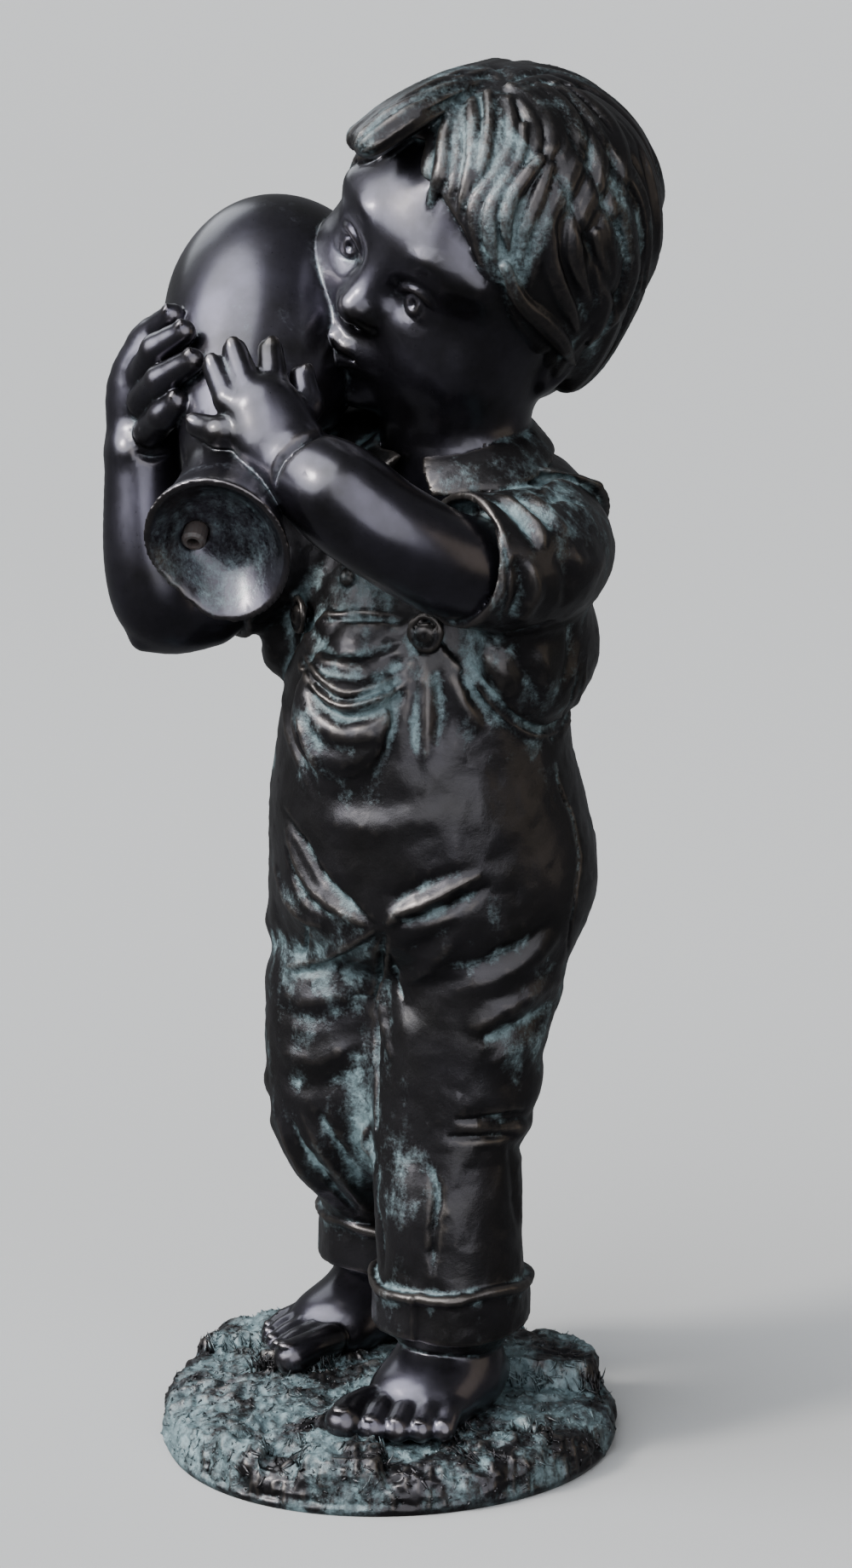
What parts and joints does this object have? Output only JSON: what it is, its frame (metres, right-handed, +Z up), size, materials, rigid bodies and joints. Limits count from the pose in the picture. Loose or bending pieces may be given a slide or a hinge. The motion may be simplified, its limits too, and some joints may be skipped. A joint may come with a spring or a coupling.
{
  "type": "pond spitter statue",
  "caption": "Bronze-look resin garden figure of a child in bib overalls who carries a jug on the right shoulder; water leaves by a tube in the jug's mouth",
  "frame": {"origin": "on the ground at the middle of the base's underside", "axes": "+Z up; the front of the ornament, towards which the jug pours, faces -Y; +X is to the right seen from the front"},
  "size_m": [0.301, 0.2825, 0.75],
  "materials": {
    "bronze_resin": "cold-cast bronze resin, dark and worn to a satin sheen, with blue-green verdigris in the hollows",
    "water_tube": "dark moulded tube end"
  },
  "bodies": {
    "root": {"statue": "bronze_resin", "spout_tube": "water_tube"}
  },
  "joints": []
}
